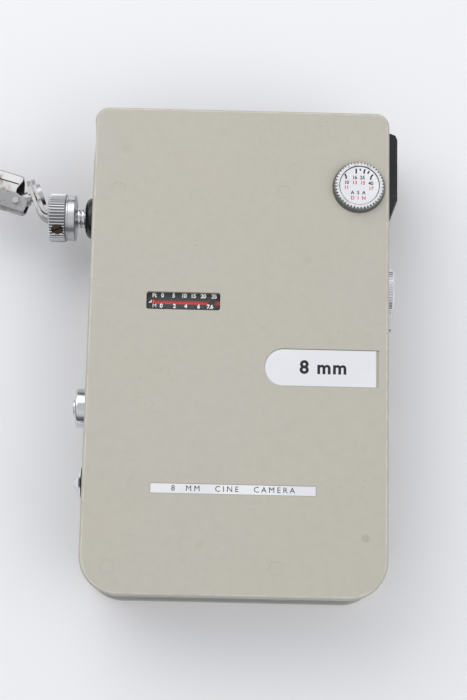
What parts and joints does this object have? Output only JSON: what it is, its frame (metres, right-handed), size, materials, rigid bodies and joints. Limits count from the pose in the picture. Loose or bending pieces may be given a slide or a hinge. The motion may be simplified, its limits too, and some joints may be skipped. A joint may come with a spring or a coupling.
{
  "type": "8 mm cine camera",
  "caption": "Slim hand-held cine camera for 8 mm film: beige covers on a metal band, footage window, film-speed dial, lens ring, release, hinged film door and strap fitting.",
  "frame": {"origin": "centre of the camera body's outline on the outer face of the film door, the face that it lies on", "axes": "+X towards the lens, +Y towards the finder (the camera's top), +Z out of the mechanism cover"},
  "size_m": [0.1369, 0.148, 0.0366],
  "materials": {
    "beige_enamel": "satin, finely worn",
    "band_steel": "satin polished",
    "bright_chrome": "polished",
    "dial_silver": "knurled, satin",
    "white_enamel": "smooth, satin",
    "black_plastic": "glossy",
    "black_enamel": "semi-gloss",
    "scale_black": "matt",
    "optical_glass": "coated",
    "clear_plastic": "moulded",
    "plate_steel": "turned",
    "gear_brass": "cut",
    "spool_grey": "moulded",
    "cell_jacket": "printed sheet",
    "selenium": "dark, slightly glossy"
  },
  "bodies": {
    "camera_body": {"mechanism_cover": "beige_enamel", "body_frame": "band_steel", "chassis": "black_enamel", "hinge_pin": "bright_chrome", "mechanism_plate": "plate_steel", "cover_screws": "plate_steel", "cover_studs": "beige_enamel", "name_plate": "white_enamel", "lower_plate": "white_enamel", "dial_face": "white_enamel", "counter_glass": "clear_plastic", "counter_scale": "scale_black", "front_bezel": "black_plastic", "light_cell": "selenium", "cell_window": "clear_plastic", "finder_tube": "black_enamel", "finder_lenses": "optical_glass", "eyepiece_ring": "bright_chrome", "lens_barrel": "black_enamel", "front_element": "optical_glass", "rear_element": "optical_glass", "film_gate": "black_enamel", "gate_springs": "plate_steel", "shutter_bracket": "plate_steel", "meter_movement": "black_enamel", "motor": "plate_steel", "gear_studs": "plate_steel", "battery_cells": "cell_jacket", "battery_contacts": "plate_steel", "tripod_socket": "gear_brass", "socket_escutcheon": "black_plastic", "release_bush": "black_enamel", "button_spring": "plate_steel", "latch_base": "black_enamel"},
    "door": {"film_door": "beige_enamel"},
    "speed_dial": {"dial_rim": "dial_silver"},
    "counter": {"counter_pointer": "scale_black"},
    "focus_ring": {"lens_ring": "bright_chrome"},
    "pressure": {"pressure_plate": "plate_steel"},
    "film_claw": {"claw": "plate_steel"},
    "shutter": {"shutter_disc": "black_enamel"},
    "vane": {"aperture_vane": "black_enamel"},
    "motor_shaft": {"motor_pinion": "gear_brass"},
    "drive_wheel": {"drive_gear": "gear_brass"},
    "takeup_wheel": {"takeup_gear": "gear_brass"},
    "idler_wheel": {"idler_gear": "gear_brass"},
    "shutter_shaft": {"shutter_pinion": "gear_brass"},
    "supply": {"supply_spindle": "plate_steel"},
    "takeup": {"takeup_spindle": "plate_steel", "takeup_spool": "spool_grey"},
    "strap_screw_body": {"strap_screw": "bright_chrome", "set_screw": "bright_chrome"},
    "tab": {"strap_tab": "bright_chrome"},
    "swivel": {"strap_rivet": "bright_chrome"},
    "clamp": {"strap_clamp": "bright_chrome", "clamp_pin": "bright_chrome"},
    "release": {"release_button": "bright_chrome"},
    "release_lock": {"lock_ring": "bright_chrome"},
    "door_latch": {"latch_knob": "bright_chrome", "latch_arm": "plate_steel"}
  },
  "joints": [
    {"name": "film_door_swing", "type": "hinge", "parent": "camera_body", "child": "door", "pos_m": [0.045, -0.0305, 0.004], "axis": [0, -1, 0], "range_deg": [0, 110]},
    {"name": "film_speed_turn", "type": "hinge", "parent": "camera_body", "child": "speed_dial", "pos_m": [0.03565, 0.05, 0.035], "axis": [0, 0, 1], "range_deg": [-45, 45]},
    {"name": "counter_advance", "type": "slide", "parent": "camera_body", "child": "counter", "axis": [1, 0, 0], "range_m": [-0.0165, 0.0008]},
    {"name": "focus_turn", "type": "hinge", "parent": "camera_body", "child": "focus_ring", "pos_m": [0.047, 0.0218, 0.017], "axis": [1, 0, 0], "range_deg": [-90, 0]},
    {"name": "pressure_plate_lift", "type": "slide", "parent": "camera_body", "child": "pressure", "axis": [-1, 0, 0], "range_m": [0, 0.0015], "stiffness_N_per_m": 300, "springref_m": -0.002},
    {"name": "claw_stroke", "type": "slide", "parent": "camera_body", "child": "film_claw", "axis": [0, -1, 0], "range_m": [0, 0.0038]},
    {"name": "shutter_turn", "type": "hinge", "parent": "camera_body", "child": "shutter", "pos_m": [0.0379, 0.0103, 0.017], "axis": [1, 0, 0], "continuous": true},
    {"name": "aperture_vane_swing", "type": "hinge", "parent": "camera_body", "child": "vane", "pos_m": [0.03915, 0.0396, 0.0145], "axis": [1, 0, 0], "range_deg": [-14, 14], "stiffness_Nm_per_rad": 0.0002},
    {"name": "motor_turn", "type": "hinge", "parent": "camera_body", "child": "motor_shaft", "pos_m": [0.022, -0.05, 0.0255], "axis": [0, 0, 1], "continuous": true},
    {"name": "drive_gear_turn", "type": "hinge", "parent": "camera_body", "child": "drive_wheel", "pos_m": [0.00592, -0.03426, 0.0257], "axis": [0, 0, 1], "continuous": true},
    {"name": "takeup_gear_turn", "type": "hinge", "parent": "camera_body", "child": "takeup_wheel", "pos_m": [-0.012, -0.0215, 0.0285], "axis": [0, 0, 1], "continuous": true},
    {"name": "idler_gear_turn", "type": "hinge", "parent": "camera_body", "child": "idler_wheel", "pos_m": [0.01993, -0.0011, 0.0257], "axis": [0, 0, 1], "continuous": true},
    {"name": "shutter_pinion_turn", "type": "hinge", "parent": "camera_body", "child": "shutter_shaft", "pos_m": [0.0345, 0.0103, 0.025], "axis": [0, 0, 1], "continuous": true},
    {"name": "supply_spindle_turn", "type": "hinge", "parent": "camera_body", "child": "supply", "pos_m": [-0.012, 0.0305, 0.012], "axis": [0, 0, 1], "continuous": true},
    {"name": "takeup_spindle_turn", "type": "hinge", "parent": "camera_body", "child": "takeup", "pos_m": [-0.012, -0.0215, 0.012], "axis": [0, 0, 1], "continuous": true},
    {"name": "strap_screw_turn", "type": "hinge", "parent": "camera_body", "child": "strap_screw_body", "pos_m": [-0.052, 0.0431, 0.017], "axis": [1, 0, 0], "continuous": true},
    {"name": "strap_tab_swivel", "type": "hinge", "parent": "strap_screw_body", "child": "tab", "pos_m": [-0.058, 0.0431, 0.017], "axis": [1, 0, 0], "continuous": true},
    {"name": "strap_link_swivel", "type": "hinge", "parent": "tab", "child": "swivel", "pos_m": [-0.06419, 0.04986, 0.017], "axis": [-0.9371, -0.3491, 0], "continuous": true},
    {"name": "strap_clamp_swing", "type": "hinge", "parent": "swivel", "child": "clamp", "pos_m": [-0.07009, 0.04766, 0.017], "axis": [0, 0, 1], "range_deg": [-5, 10]},
    {"name": "release_press", "type": "slide", "parent": "camera_body", "child": "release", "axis": [1, 0, 0], "range_m": [0, 0.0018], "stiffness_N_per_m": 700, "springref_m": -0.001},
    {"name": "release_lock_turn", "type": "hinge", "parent": "camera_body", "child": "release_lock", "pos_m": [-0.047, -0.0169, 0.017], "axis": [1, 0, 0], "range_deg": [0, 90]},
    {"name": "door_latch_turn", "type": "hinge", "parent": "camera_body", "child": "door_latch", "pos_m": [-0.047, -0.0399, 0.017], "axis": [-1, 0, 0], "range_deg": [0, 90]}
  ],
  "couplings": [
    {"joint": "motor_turn", "follows": "drive_gear_turn", "ratio": -8},
    {"joint": "takeup_gear_turn", "follows": "drive_gear_turn", "ratio": -0.1},
    {"joint": "idler_gear_turn", "follows": "drive_gear_turn", "ratio": -1.25},
    {"joint": "shutter_pinion_turn", "follows": "drive_gear_turn", "ratio": 8},
    {"joint": "shutter_turn", "follows": "drive_gear_turn", "ratio": -3.3333}
  ]
}
